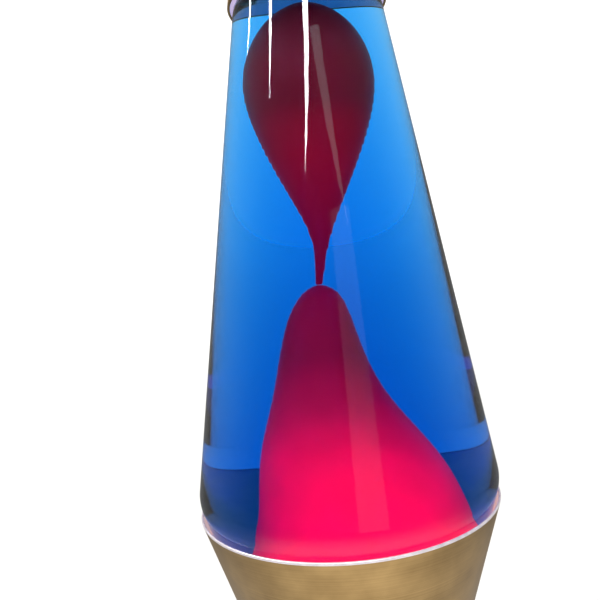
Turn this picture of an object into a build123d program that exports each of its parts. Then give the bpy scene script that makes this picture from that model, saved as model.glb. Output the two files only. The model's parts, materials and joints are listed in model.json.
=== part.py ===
from build123d import *

import os
from math import acos, atan2, cos, hypot, pi, sin

# Liquid motion lamp: a tapered glass bottle of clear blue fluid and red wax, which stands in the
# upper cup of a waisted base and is warmed by a small bulb below it, under a loose tapered cap.
# Millimetres. The origin is on the table under the lamp's centre line, +Z is up, and the cord
# inlet is at the back, +Y.

# ------------------------------------------------------------------------- driving sizes
# Overall heights and radii
total_height = 368.3
base_height = 158.0
rim_radius = 45.15
foot_radius = 50.0
cap_height = 62.6

# Spun base
base_wall = 0.7
cup_depth = 60.0
waist_flange_width = 6.5
waist_bend_radius = 2.0
foot_flange_width = 7.0
base_lip_round_share = 0.3
back_deg = 90.0

# Glass bottle
glass_wall = 3.0
bottle_depth = 45.0
rim_gap = 0.75
seat_rise = 4.0
seat_clearance = 0.08
equator_rise = 5.05
shoulder_radius = 21.9
shoulder_rise = 1.6
shoulder_drop = 6.0
heel_round = 4.0
equator_round = 10.0
shoulder_round = 7.0
neck_round = 5.0
neck_radius = 12.7
finish_radius = 13.3
finish_height = 8.0
transfer_ring_radius = 14.2
transfer_ring_height = 3.0
transfer_ring_drop = 16.0
transfer_ring_round = 1.0

# Bottle closure
closure_metal = 0.4
closure_height = 6.2
closure_skirt_radius = 16.05
closure_crimp_radius = 13.9
closure_flare_height = 4.0
closure_bend = 0.8
liner_thickness = 1.0
liner_inset = 0.5

# Cap
cap_wall = 0.8
cap_lip_gap = 0.9
cap_seat_clearance = 0.08
cap_headroom = 10.0
cap_top_round = 2.0

# Fluid, wax and warming coil
fluid_film = 0.05
headspace = 22.0
coil_wire_radius = 0.8
coil_radius = 20.0
coil_pitch = 2.4
coil_turns = 3
coil_lift = 1.4

# Bulb
bulb_radius = 17.4
bulb_taper = 4.9
bulb_glass_wall = 0.6
bulb_gap = 5.0
bulb_passage = 2.1
bulb_neck_radius = 7.3
bulb_neck_rise = 19.0
screw_crest_radius = 8.33
screw_depth = 0.5
screw_pitch = 2.82
screw_turns = 5
screw_metal = 0.3
screw_clearance = 0.3
screw_rise = 3.2
tip_radius = 3.2
tip_height = 1.0
filament_rise = 43.0
filament_span = 14.0
filament_radius = 0.35
lead_wire_radius = 0.25
stem_radius = 2.0
stem_flare_radius = 5.8
stem_rise = 34.0
stem_flare_share = 1 / 3

# Bulb holder and its bracket
holder_radius = 12.5
holder_floor = 7.0
holder_depth = 19.5
holder_edge_chamfer = 0.8
sleeve_metal = 0.4
contact_gap = 0.3
contact_metal = 0.4
contact_width = 5.0
contact_rise = 2.0
contact_reach = 7.0
contact_bend = 0.8
terminal_screw_radius = 1.4
terminal_head_radius = 2.8
terminal_head_height = 1.6
terminal_length = 3.0
bracket_width = 12.0
bracket_metal = 1.2
bracket_bend = 1.0
bracket_leg = 17.0
bracket_tab = 11.0
holder_screw_spacing = 16.0
holder_screw_length = 5.0

# Bottom plate, feet and fasteners
plate_thickness = 1.0
plate_inset = 1.3
foot_pad_height = 2.0
foot_pad_radius = 6.0
foot_pad_inset = 14.0
foot_pad_chamfer = 0.4
foot_pad_count = 4
foot_pad_first_deg = 45.0
vent_radius = 3.0
vent_circle_radius = 23.0
vent_spacing_deg = 30.0
vents_per_side = 5
plate_screw_count = 3
plate_screw_radius = 1.4
plate_screw_length = 5.5
plate_screw_head_radius = 2.8
plate_screw_head_height = 1.4
rivet_radius = 1.5
rivet_head_radius = 2.0
rivet_head_height = 0.8
waist_rivet_count = 3
shank_clearance = 0.05

# Cord inlet bushing
inlet_height = 20.0
inlet_bore_radius = 3.2
inlet_neck_radius = 5.0
inlet_flange_radius = 7.0
inlet_outer_flange = 1.5
inlet_inner_flange = 3.0

# ------------------------------------------------------------------------- derived levels
foot_level = foot_pad_height + plate_thickness
waist_height = base_height - cup_depth
cap_lip_height = total_height - cap_height
bottle_floor = base_height - bottle_depth
shoulder_height = cap_lip_height + shoulder_rise
neck_root_height = shoulder_height + shoulder_drop
closure_top = total_height - cap_wall - cap_headroom
closure_skirt_height = closure_top - closure_height
neck_top = closure_top - closure_metal - liner_thickness
fill_height = neck_top - headspace

waist_hole_radius = bulb_radius + bulb_passage
waist_radius = waist_hole_radius + waist_flange_width
cup_slope = (rim_radius - waist_radius) / cup_depth
skirt_slope = (foot_radius - waist_radius) / (waist_height - foot_level)

bulb_length = bulb_neck_rise + bulb_taper + 2 * bulb_radius
bulb_tip = bottle_floor - bulb_gap - bulb_length
holder_cavity_floor = bulb_tip - contact_gap - contact_rise
holder_seat = holder_cavity_floor - holder_floor
holder_top = holder_cavity_floor + holder_depth
bracket_top = holder_seat - bracket_metal
sleeve_groove_radius = screw_crest_radius + screw_clearance
holder_cavity_radius = sleeve_groove_radius + sleeve_metal + shank_clearance


# ------------------------------------------------------------------------- outline helpers
def crossing(a, b, c, d):
    """Where the line through a and b meets the line through c and d."""
    ab_r, ab_z = b[0] - a[0], b[1] - a[1]
    cd_r, cd_z = d[0] - c[0], d[1] - c[1]
    share = ((c[0] - a[0]) * cd_z - (c[1] - a[1]) * cd_r) / (ab_r * cd_z - ab_z * cd_r)
    return (a[0] + share * ab_r, a[1] + share * ab_z)


def inset(corners, gap):
    """An open outline's corners, moved by gap to the left of its direction."""
    moved = []
    for (r0, z0), (r1, z1) in zip(corners, corners[1:]):
        length = hypot(r1 - r0, z1 - z0)
        side_r = -(z1 - z0) / length * gap
        side_z = (r1 - r0) / length * gap
        moved.append(((r0 + side_r, z0 + side_z), (r1 + side_r, z1 + side_z)))
    middle = [crossing(*here, *after) for here, after in zip(moved, moved[1:])]
    return [moved[0][0], *middle, moved[-1][1]]


def rounded(corners, radii):
    """The line through the corners, each inner corner rounded to its own radius."""
    return FilletPolyline(*corners, radius=radii)


def sheet_face(corners, thickness, left_radii, right_radii):
    """The cross-section of a bent sheet that lies to the left of the corners."""
    right = rounded(corners, right_radii)
    left = rounded(inset(corners, thickness), left_radii)
    ends = [Line(right @ 0, left @ 0), Line(right @ 1, left @ 1)]
    return make_face([right, left, *ends])


def spun(face):
    """A face drawn as radius and height, turned about the centre line."""
    return revolve(Plane.XZ * face, axis=Axis.Z)


def disc(radius, bottom, top, x=0.0, y=0.0):
    """An upright cylinder between two levels."""
    upright = (Align.CENTER, Align.CENTER, Align.MIN)
    return Pos(x, y, bottom) * Cylinder(radius, top - bottom, align=upright)


def round_places(radius, count, first_deg=0.0):
    """The x and y of count places spaced evenly on a circle."""
    step = 2 * pi / count
    first = first_deg * pi / 180
    return [(radius * cos(first + i * step), radius * sin(first + i * step)) for i in range(count)]


# ------------------------------------------------------------------------- spun base
def base_cup():
    """The upper cup, whose inward flange lies on the skirt's flange at the waist."""
    corners = [
        (waist_hole_radius, waist_height),
        (waist_radius, waist_height),
        (rim_radius, base_height),
    ]
    cup = spun(sheet_face(corners, base_wall, [waist_bend_radius - base_wall], [waist_bend_radius]))
    lip_round = base_wall * base_lip_round_share
    lip = cup.edges().filter_by(GeomType.CIRCLE).group_by(Axis.Z)[-1]
    cup = fillet(lip, lip_round)
    return cup - waist_rivet_holes()


def inlet_frame():
    """The plane at the cord inlet, on the skirt's outside, whose z axis points outwards."""
    outward = Vector(0, 1, skirt_slope)
    radius = foot_radius - skirt_slope * (inlet_height - foot_level)
    return Plane(origin=(0, radius, inlet_height), x_dir=(1, 0, 0), z_dir=outward)


def skirt_shell():
    """The lower cone before its holes are made."""
    corners = [
        (foot_radius - foot_flange_width, foot_level),
        (foot_radius, foot_level),
        (waist_radius, waist_height),
        (waist_hole_radius, waist_height),
    ]
    inner_bend = waist_bend_radius - base_wall
    face = sheet_face(corners, base_wall, [inner_bend] * 2, [waist_bend_radius] * 2)
    return spun(face)


def base_skirt():
    """The lower cone, with flanges at the waist and the foot and a hole for the cord inlet."""
    inlet_hole = inlet_frame() * Cylinder(inlet_neck_radius + shank_clearance, inlet_flange_radius)
    skirt = skirt_shell() - waist_rivet_holes() - inlet_hole
    for x, y in plate_screw_places():
        skirt -= disc(plate_screw_radius + shank_clearance, foot_level, foot_level + base_wall, x, y)
    return skirt


def waist_rivet_places():
    """The x and y of the rivets in the middle of the waist flanges' flat part."""
    ring = (waist_hole_radius + waist_radius - base_wall - waist_bend_radius) / 2
    return round_places(ring, waist_rivet_count, back_deg)


def waist_rivet_holes():
    """The holes through both waist flanges."""
    radius = rivet_radius + shank_clearance
    low, high = waist_height - base_wall, waist_height + base_wall
    return [disc(radius, low, high, x, y) for x, y in waist_rivet_places()]


def rivet(bottom, top, x, y):
    """A tubular rivet whose two heads clamp the sheets between the bottom and top levels."""
    shank = disc(rivet_radius, bottom, top, x, y)
    lower = disc(rivet_head_radius, bottom - rivet_head_height, bottom, x, y)
    upper = disc(rivet_head_radius, top, top + rivet_head_height, x, y)
    return lower + shank + upper


def waist_rivets():
    """The rivets that join the cup to the skirt."""
    low, high = waist_height - base_wall, waist_height + base_wall
    return Compound(children=[rivet(low, high, x, y) for x, y in waist_rivet_places()])


def cord_inlet_bushing():
    """A rubber bushing that grips the edge of the skirt's hole and leaves a clear bore."""
    inward = (Align.CENTER, Align.CENTER, Align.MAX)
    length = inlet_outer_flange + base_wall + inlet_inner_flange
    outer = Pos(0, 0, inlet_outer_flange / 2) * Cylinder(inlet_flange_radius, inlet_outer_flange)
    neck = Cylinder(inlet_neck_radius, base_wall, align=inward)
    inner = Pos(0, 0, -base_wall) * Cylinder(inlet_flange_radius, inlet_inner_flange, align=inward)
    bore = Pos(0, 0, inlet_outer_flange) * Cylinder(inlet_bore_radius, length, align=inward)
    return inlet_frame() * (outer + neck + inner - bore) - skirt_shell_with_inlet()


def skirt_shell_with_inlet():
    """The skirt's wall around the bushing's neck, which the bushing's flanges lie on."""
    neck_hole = inlet_frame() * Cylinder(inlet_neck_radius, inlet_flange_radius)
    return skirt_shell() - neck_hole


# ------------------------------------------------------------------------- bottom plate
def plate_screw_places():
    """The x and y of the plate's screws, in the middle of the foot flange."""
    ring = foot_radius - base_wall - foot_flange_width / 2 - shank_clearance
    return round_places(ring, plate_screw_count, back_deg)


def bracket_rivet_places():
    """The x and y of the two rivets through the bracket's feet."""
    middle = bracket_leg + bracket_metal + (bracket_tab - bracket_metal) / 2
    return [(-middle, 0), (middle, 0)]


def vent_places():
    """Two arcs of vents, in front of and behind the bracket's feet."""
    middle = (vents_per_side - 1) / 2
    angles = [back_deg + (i - middle) * vent_spacing_deg for i in range(vents_per_side)]
    angles += [angle + 180 for angle in angles]
    turned = [angle * pi / 180 for angle in angles]
    return [(vent_circle_radius * cos(a), vent_circle_radius * sin(a)) for a in turned]


def bottom_plate():
    """The disc that closes the skirt, with vents that let cool air in."""
    low, high = foot_pad_height, foot_level
    plate = disc(foot_radius - plate_inset, low, high)
    plate -= [disc(vent_radius, low, high, x, y) for x, y in vent_places()]
    hole = plate_screw_radius + shank_clearance
    plate -= [disc(hole, low, high, x, y) for x, y in plate_screw_places()]
    hole = rivet_radius + shank_clearance
    plate -= [disc(hole, low, high, x, y) for x, y in bracket_rivet_places()]
    return plate


def foot_pads_group():
    """The rubber pads that the lamp stands on."""
    ring = foot_radius - foot_pad_inset
    pads = []
    for x, y in round_places(ring, foot_pad_count, foot_pad_first_deg):
        pad = disc(foot_pad_radius, 0, foot_pad_height, x, y)
        lower_edge = pad.edges().group_by(Axis.Z)[0]
        pads.append(chamfer(lower_edge, foot_pad_chamfer))
    return Compound(children=pads)


def plate_screws_group():
    """The screws that hold the bottom plate to the skirt's foot flange."""
    screws = []
    for x, y in plate_screw_places():
        head = disc(plate_screw_head_radius, foot_pad_height - plate_screw_head_height, foot_pad_height, x, y)
        shank = disc(plate_screw_radius, foot_pad_height, foot_pad_height + plate_screw_length, x, y)
        screws.append(head + shank)
    return Compound(children=screws)


# ------------------------------------------------------------------------- bulb holder
def holder_bracket():
    """A steel strap bent into a bridge, which carries the bulb holder above the plate."""
    leg_foot = bracket_leg + bracket_tab
    corners = [
        (-leg_foot, foot_level),
        (-bracket_leg, foot_level),
        (-bracket_leg, bracket_top),
        (bracket_leg, bracket_top),
        (bracket_leg, foot_level),
        (leg_foot, foot_level),
    ]
    tight, wide = bracket_bend, bracket_bend + bracket_metal
    face = sheet_face(corners, bracket_metal, [tight, wide, wide, tight], [wide, tight, tight, wide])
    strap = extrude(Plane.XZ * face, bracket_width / 2, both=True)
    for x, y in bracket_rivet_places():
        strap -= disc(rivet_radius + shank_clearance, foot_level, foot_level + bracket_metal, x, y)
    for x, y in holder_screw_places():
        strap -= disc(terminal_screw_radius + shank_clearance, bracket_top, holder_seat, x, y)
    return strap


def holder_screw_places():
    """The x and y of the two screws under the holder."""
    return [(-holder_screw_spacing / 2, 0), (holder_screw_spacing / 2, 0)]


def bracket_rivets():
    """The rivets that hold the bracket to the bottom plate."""
    low, high = foot_pad_height, foot_level + bracket_metal
    return Compound(children=[rivet(low, high, x, y) for x, y in bracket_rivet_places()])


def terminal_frames():
    """The planes of the two terminal screws, on the holder's front and back."""
    level = holder_seat + holder_floor / 2
    return [Plane(origin=(0, side * holder_radius, level), z_dir=(0, side, 0)) for side in (-1, 1)]


def holder_body():
    """The moulded body: a cup for the screw sleeve on a thick floor."""
    body = disc(holder_radius, holder_seat, holder_top)
    body = chamfer(body.edges().group_by(Axis.Z)[-1], holder_edge_chamfer)
    body -= disc(holder_cavity_radius, holder_cavity_floor, holder_top)
    hole = terminal_screw_radius + shank_clearance
    for x, y in holder_screw_places():
        body -= disc(hole, holder_seat, holder_seat + holder_screw_length + shank_clearance, x, y)
    for frame in terminal_frames():
        body -= frame * Cylinder(hole, 2 * (terminal_length + shank_clearance))
    return body


def holder_screws():
    """The screws that hold the body to the bridge from below."""
    screws = []
    for x, y in holder_screw_places():
        head = disc(terminal_head_radius, bracket_top - terminal_head_height, bracket_top, x, y)
        shank = disc(terminal_screw_radius, bracket_top, holder_seat + holder_screw_length, x, y)
        screws.append(head + shank)
    return Compound(children=screws)


def terminal_screws():
    """The two screws that the supply wires are clamped under."""
    screws = []
    for frame in terminal_frames():
        head = Pos(0, 0, terminal_head_height / 2) * Cylinder(terminal_head_radius, terminal_head_height)
        shank = Pos(0, 0, -terminal_length / 2) * Cylinder(terminal_screw_radius, terminal_length)
        screws.append(frame * (head + shank))
    return Compound(children=screws)


def centre_contact():
    """The springy strip that the bulb's tip presses on."""
    rest = holder_cavity_floor
    corners = [
        (-contact_reach, rest),
        (-contact_reach / 2, rest),
        (-tip_radius / 2, rest + contact_rise - contact_metal),
        (tip_radius, rest + contact_rise - contact_metal),
    ]
    bends = [contact_bend] * 2
    face = sheet_face(corners, contact_metal, bends, bends)
    return extrude(Plane.XZ * face, contact_width / 2, both=True)


def rolled_sleeve(crest_radius, metal, bottom):
    """A thin sleeve rolled into round threads, drawn here as rings of the same pitch."""
    waves = 2 * screw_turns
    inner, outer = [], []
    for i in range(waves + 1):
        level = bottom + i * screw_pitch / 2
        radius = crest_radius - screw_depth * (i % 2)
        inner.append((radius - metal, level))
        outer.append((radius, level))
    walls = [Spline(*inner), Spline(*outer)]
    ends = [Line(inner[0], outer[0]), Line(inner[-1], outer[-1])]
    return spun(make_face([*walls, *ends]))


def holder_sleeve():
    """The holder's brass screw sleeve, a running clearance outside the bulb's."""
    crest = sleeve_groove_radius + sleeve_metal
    return rolled_sleeve(crest, sleeve_metal, bulb_tip + screw_rise)


# ------------------------------------------------------------------------- bulb
def bulb_outline(inset_by):
    """A round-topped, tapered envelope as an outline from its neck to the centre line."""
    ball = bulb_radius - inset_by
    centre = bulb_tip + bulb_length - bulb_radius
    neck = bulb_neck_radius - inset_by
    neck_level = bulb_tip + bulb_neck_rise
    to_neck = atan2(neck, centre - neck_level)
    off_neck = acos(ball / hypot(neck, centre - neck_level))
    start = to_neck + off_neck
    middle = (start + pi) / 2
    touch = (ball * sin(start), centre - ball * cos(start))
    above = (ball * sin(middle), centre - ball * cos(middle))
    top = (0, centre + ball)
    neck_bottom = (neck, bulb_tip + screw_rise + screw_pitch)
    lines = [
        Line(neck_bottom, (neck, neck_level)),
        Line((neck, neck_level), touch),
        ThreePointArc(touch, above, top),
    ]
    return lines, neck_bottom, top


def bulb_glass():
    """The blown envelope, open at its neck."""
    outer, outer_neck, outer_top = bulb_outline(0)
    inner, inner_neck, inner_top = bulb_outline(bulb_glass_wall)
    ends = [Line(outer_neck, inner_neck), Line(outer_top, inner_top)]
    return spun(make_face([*outer, *inner, *ends]))


def bulb_sleeve():
    """The bulb's screw sleeve."""
    return rolled_sleeve(screw_crest_radius, screw_metal, bulb_tip + screw_rise)


def bulb_insulator():
    """The glass collar between the sleeve and the tip contact."""
    low, high = bulb_tip + tip_height, bulb_tip + screw_rise
    rim = screw_crest_radius - screw_metal
    corners = [(0, low), (tip_radius + screw_metal, low), (rim, high), (0, high), (0, low)]
    return spun(make_face(Polyline(*corners)))


def bulb_tip_contact():
    """The soldered dome that meets the centre contact."""
    tip = (0, bulb_tip)
    edge = (tip_radius, bulb_tip + tip_height)
    centre = (0, bulb_tip + tip_height)
    dome = TangentArc(tip, edge, tangent=(1, 0))
    return spun(make_face([dome, Line(edge, centre), Line(centre, tip)]))


def filament_stem():
    """The glass stem that closes the neck and carries the wires."""
    low = bulb_tip + screw_rise + screw_pitch
    high = bulb_tip + stem_rise
    flare_top = low + (high - low) * stem_flare_share
    corners = [
        (0, low),
        (stem_flare_radius, low),
        (stem_radius, flare_top),
        (stem_radius, high),
        (0, high),
        (0, low),
    ]
    return spun(make_face(Polyline(*corners))) - lead_wires()


def rod(start, end, radius):
    """A straight wire between two points."""
    path = Line(start, end)
    return sweep(Plane(origin=start, z_dir=path % 0) * Circle(radius), path)


def lead_wires():
    """The two wires from inside the stem's top to the filament's ends."""
    foot = bulb_tip + stem_rise - stem_radius
    head = bulb_tip + filament_rise
    wires = []
    for side in (-1, 1):
        start = (side * stem_radius / 2, 0, foot)
        end = (side * filament_span / 2, 0, head - filament_radius)
        wires.append(rod(start, end, lead_wire_radius))
    return Compound(children=wires)


def filament():
    """The coiled tungsten wire, as the plain rod that its coils fill."""
    head = bulb_tip + filament_rise + lead_wire_radius
    half = filament_span / 2
    return rod((-half, 0, head), (half, 0, head), filament_radius)


# ------------------------------------------------------------------------- glass bottle
def bottle_corners():
    """The bottle's outside from the middle of its floor to the top of its neck."""
    rim_inside = rim_radius - base_wall * hypot(1, cup_slope)
    rim_level_radius = rim_inside - rim_gap
    seat_depth = bottle_depth - seat_rise
    seat_radius = rim_inside - cup_slope * seat_depth - seat_clearance
    foot_slope = (rim_level_radius - seat_radius) / seat_depth
    return [
        (0, bottle_floor),
        (rim_level_radius - foot_slope * bottle_depth, bottle_floor),
        (rim_level_radius + foot_slope * equator_rise, base_height + equator_rise),
        (shoulder_radius, shoulder_height),
        (neck_radius, neck_root_height),
        (neck_radius, neck_top),
    ]


def bottle_rounds(gap):
    """The bottle's four corner radii at a given distance inside its outer surface."""
    return [heel_round - gap, equator_round - gap, shoulder_round - gap, neck_round + gap]


def globe_bottle():
    """The glass bottle, with the ring and bead that its closure is crimped over."""
    corners = bottle_corners()
    face = sheet_face(corners, glass_wall, bottle_rounds(glass_wall), bottle_rounds(0))
    bottle = spun(face)
    bore = disc(neck_radius - glass_wall, neck_top - transfer_ring_drop, neck_top)
    ring_top = neck_top - transfer_ring_drop + transfer_ring_height
    ring = disc(transfer_ring_radius, neck_top - transfer_ring_drop, ring_top)
    ring = fillet(ring.edges().filter_by(GeomType.CIRCLE), transfer_ring_round)
    bead = disc(finish_radius, neck_top - finish_height, neck_top)
    bead = fillet(bead.edges().filter_by(GeomType.CIRCLE), (finish_radius - neck_radius) / 2)
    return bottle + (ring + bead - bore)


def bottle_inside(gap):
    """The space inside the bottle up to the neck's top, gap away from the glass."""
    depth = glass_wall + gap
    corners = inset(bottle_corners(), depth)
    wall = rounded(corners, bottle_rounds(depth))
    top = (0, neck_top)
    closing = Polyline(corners[-1], top, corners[0])
    return spun(make_face([wall, closing]))


def inside_radius(level):
    """The bottle's inner radius at a level of its two cones."""
    floor, heel, equator, shoulder = inset(bottle_corners(), glass_wall)[:4]
    low, high = (heel, equator) if level < equator[1] else (equator, shoulder)
    share = (level - low[1]) / (high[1] - low[1])
    return low[0] + share * (high[0] - low[0])


# ------------------------------------------------------------------------- closure and cap
def closure_corners():
    """The closure's outside from its skirt's edge to the middle of its top."""
    return [
        (closure_skirt_radius, closure_skirt_height),
        (closure_crimp_radius, closure_skirt_height + closure_flare_height),
        (closure_crimp_radius, closure_top),
        (0, closure_top),
    ]


def bottle_closure():
    """The crimped steel closure."""
    inner_bends = [closure_bend, closure_bend - closure_metal]
    face = sheet_face(closure_corners(), closure_metal, inner_bends, [closure_bend] * 2)
    return spun(face)


def closure_liner():
    """The soft disc that seals the bottle under its closure."""
    return disc(finish_radius - liner_inset, neck_top, neck_top + liner_thickness)


def cap_corners():
    """The cap's inside from its lip to the middle of its top."""
    lip_radius = glass_radius_at_lip() + cap_lip_gap
    seat_radius = closure_skirt_radius + cap_seat_clearance
    slope = (lip_radius - seat_radius) / (closure_skirt_height - cap_lip_height)
    ceiling = total_height - cap_wall
    ceiling_radius = lip_radius - slope * (ceiling - cap_lip_height)
    return [(lip_radius, cap_lip_height), (ceiling_radius, ceiling), (0, ceiling)]


def glass_radius_at_lip():
    """The bottle's outer radius at the level of the cap's lip."""
    equator, shoulder = bottle_corners()[2:4]
    share = (cap_lip_height - equator[1]) / (shoulder[1] - equator[1])
    return equator[0] + share * (shoulder[0] - equator[0])


def cap():
    """The spun cap, which rests on the edge of the closure's skirt."""
    inside = cap_corners()
    outside = inset(inside, -cap_wall)
    inner = rounded(inside, [cap_top_round - cap_wall])
    outer = rounded(outside, [cap_top_round])
    lip = Line(inner @ 0, outer @ 0)
    crown_line = Line(inner @ 1, outer @ 1)
    return spun(make_face([inner, outer, lip, crown_line]))


# ------------------------------------------------------------------------- fluid and wax
# Each wax section is its level, as a share of the height from the rim to the cap's lip (below
# zero it is a share of the bottle's depth in the cup), its radius, as a share of the bottle's
# inner radius there, and how far its centre leans towards +X, in millimetres.
drop_sections = [
    (0.981, 0.05, -1.0),
    (0.970, 0.26, -1.0),
    (0.945, 0.45, -1.0),
    (0.900, 0.60, -1.0),
    (0.826, 0.64, -1.0),
    (0.735, 0.50, -1.0),
    (0.650, 0.32, -1.1),
    (0.571, 0.15, -1.1),
    (0.530, 0.08, -1.2),
    (0.490, 0.04, -1.7),
    (0.428, 0.026, -2.7),
]
pool_sections = [
    (0.428, 0.03, -2.7),
    (0.418, 0.10, -2.7),
    (0.404, 0.15, -2.8),
    (0.365, 0.215, -3.4),
    (0.284, 0.27, -3.6),
    (0.203, 0.336, -2.7),
    (0.119, 0.455, -0.8),
    (0.038, 0.52, 1.6),
    (-0.20, 0.62, 2.9),
    (-0.42, 0.80, 1.5),
    (-0.60, 0.93, 0.0),
    (-0.75, 0.95, 0.0),
]


def section_level(share):
    """A wax section's height above the table."""
    if share >= 0:
        return base_height + share * (cap_lip_height - base_height)
    return base_height + share * (bottle_depth - glass_wall)


def section_disc(share, radius_share, lean):
    """A wax section as a level circle."""
    level = section_level(share)
    return Pos(lean, 0, level) * Circle(radius_share * inside_radius(level))


def wax_drop():
    """The wax that has risen: a round-topped drop that draws out into a thread below."""
    return loft([section_disc(*section) for section in reversed(drop_sections)])


def wax_pool():
    """The wax that is left: a mound on the bottle's floor, with the warming coil in it."""
    floor_level = bottle_floor + glass_wall
    floor_radius = inside_radius(floor_level) - heel_round
    floor_disc = Pos(0, 0, floor_level) * Circle(floor_radius)
    mound = loft([floor_disc, *[section_disc(*section) for section in reversed(pool_sections)]])
    return mound - warming_coil()


def warming_coil():
    """The steel wire coil that spreads the heat through the wax."""
    height = coil_turns * coil_pitch
    start_level = bottle_floor + glass_wall + coil_lift
    path = Pos(0, 0, start_level) * Helix(coil_pitch, height, coil_radius)
    start = Plane(origin=path @ 0, z_dir=path % 0)
    return sweep(start * Circle(coil_wire_radius), path, is_frenet=True)


def fluid():
    """The clear fluid around the wax, up to its level in the neck."""
    inside = bottle_inside(fluid_film)
    above = disc(rim_radius, fill_height, total_height)
    wax = wax_pool_outside()
    return inside - above - wax - wax_drop()


def wax_pool_outside():
    """The wax mound with the coil still in it."""
    return wax_pool() + warming_coil()


# ------------------------------------------------------------------------- every node
nodes = {
    "cap": cap,
    "globe_bottle": globe_bottle,
    "bottle_closure": bottle_closure,
    "closure_liner": closure_liner,
    "fluid": fluid,
    "wax_drop": wax_drop,
    "wax_pool": wax_pool,
    "warming_coil": warming_coil,
    "base_cup": base_cup,
    "base_skirt": base_skirt,
    "waist_rivets": waist_rivets,
    "cord_inlet_bushing": cord_inlet_bushing,
    "bottom_plate": bottom_plate,
    "plate_screws": plate_screws_group,
    "foot_pads": foot_pads_group,
    "holder_bracket": holder_bracket,
    "bracket_rivets": bracket_rivets,
    "holder_body": holder_body,
    "holder_screws": holder_screws,
    "terminal_screws": terminal_screws,
    "centre_contact": centre_contact,
    "holder_sleeve": holder_sleeve,
    "bulb_glass": bulb_glass,
    "bulb_sleeve": bulb_sleeve,
    "bulb_insulator": bulb_insulator,
    "bulb_tip_contact": bulb_tip_contact,
    "filament_stem": filament_stem,
    "lead_wires": lead_wires,
    "filament": filament,
}

os.makedirs("parts", exist_ok=True)
for node, make in nodes.items():
    shape = make()
    export_step(shape, f"parts/{node}.step")
    print(node, round(shape.volume), "mm3")
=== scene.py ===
"""The looks of a liquid motion lamp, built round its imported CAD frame.

Sizes in the classes are millimetres, and the mesh helpers turn them into metres. The lamp's centre line is
the Z axis, its front faces -Y, and every level comes from the boxes of the CAD nodes.
"""

from __future__ import annotations

import json
import logging
import math
from dataclasses import dataclass
from enum import Enum

import bmesh
import bpy
from mathutils import Matrix, Vector

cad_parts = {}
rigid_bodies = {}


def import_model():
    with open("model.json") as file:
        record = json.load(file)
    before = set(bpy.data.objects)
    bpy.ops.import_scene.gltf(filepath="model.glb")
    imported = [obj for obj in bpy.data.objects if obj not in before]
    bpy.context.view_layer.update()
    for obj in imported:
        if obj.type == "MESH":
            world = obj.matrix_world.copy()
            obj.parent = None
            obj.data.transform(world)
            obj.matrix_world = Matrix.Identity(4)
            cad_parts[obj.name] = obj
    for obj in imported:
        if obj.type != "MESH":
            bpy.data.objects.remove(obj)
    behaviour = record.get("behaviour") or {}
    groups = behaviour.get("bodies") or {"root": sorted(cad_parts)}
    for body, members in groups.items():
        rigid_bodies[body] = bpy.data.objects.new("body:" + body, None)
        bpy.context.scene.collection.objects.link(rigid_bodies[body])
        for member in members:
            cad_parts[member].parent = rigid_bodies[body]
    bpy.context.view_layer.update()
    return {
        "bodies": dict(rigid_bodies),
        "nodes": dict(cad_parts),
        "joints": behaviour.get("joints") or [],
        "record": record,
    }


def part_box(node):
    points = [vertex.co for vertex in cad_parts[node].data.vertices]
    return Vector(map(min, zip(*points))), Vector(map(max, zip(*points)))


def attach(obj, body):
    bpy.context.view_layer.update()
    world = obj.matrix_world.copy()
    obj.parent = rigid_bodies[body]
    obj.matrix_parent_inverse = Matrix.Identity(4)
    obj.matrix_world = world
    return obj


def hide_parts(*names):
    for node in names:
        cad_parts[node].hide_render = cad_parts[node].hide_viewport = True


MM = 0.001
DOUBLES = 1e-7
LOG = logging.getLogger("lamp")


class Body(Enum):
    """The lamp's moving bodies."""

    BASE = "base"
    GLOBE = "globe"
    CAP = "cap"
    BULB = "bulb"


class Side(Enum):
    """Which end of a node's box a level is read from."""

    LOW = 0
    HIGH = 1


def level(node: str, side: Side) -> float:
    """The lowest or highest level of a CAD node, in millimetres."""
    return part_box(node)[side.value].z / MM


def reach(node: str) -> float:
    """The outer radius of a round CAD node, in millimetres."""
    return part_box(node)[Side.HIGH.value].x / MM


def linear(code: str) -> tuple[float, float, float, float]:
    """Turns an sRGB hex colour into a linear one.

    Args:
        code: the colour, as #rrggbb.

    Returns:
        Linear red, green and blue, and an alpha of 1.
    """
    parts = [int(code[i : i + 2], 16) / 255 for i in (1, 3, 5)]
    red, green, blue = (
        part / 12.92 if part <= 0.04045 else ((part + 0.055) / 1.055) ** 2.4 for part in parts
    )
    return red, green, blue, 1.0


def feed(tree: bpy.types.NodeTree, node: bpy.types.Node, inputs: dict) -> None:
    """Sets or links a node's inputs.

    Args:
        tree: the node tree that it is in.
        node: the node.
        inputs: a value, or the output socket to link, for each input by name or number.
    """
    for socket, value in inputs.items():
        if isinstance(value, bpy.types.NodeSocket):
            tree.links.new(value, node.inputs[socket])
        else:
            node.inputs[socket].default_value = value


def add_node(tree: bpy.types.NodeTree, kind: str, inputs: dict | None = None, **settings) -> bpy.types.Node:
    """Adds a shader node with its settings and its inputs.

    Args:
        tree: the node tree it goes in.
        kind: the node's type name.
        inputs: its inputs, as feed takes them.
        **settings: the node's own properties.

    Returns:
        The new node.
    """
    node = tree.nodes.new(kind)
    for name, value in settings.items():
        setattr(node, name, value)
    feed(tree, node, inputs or {})
    return node


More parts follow.
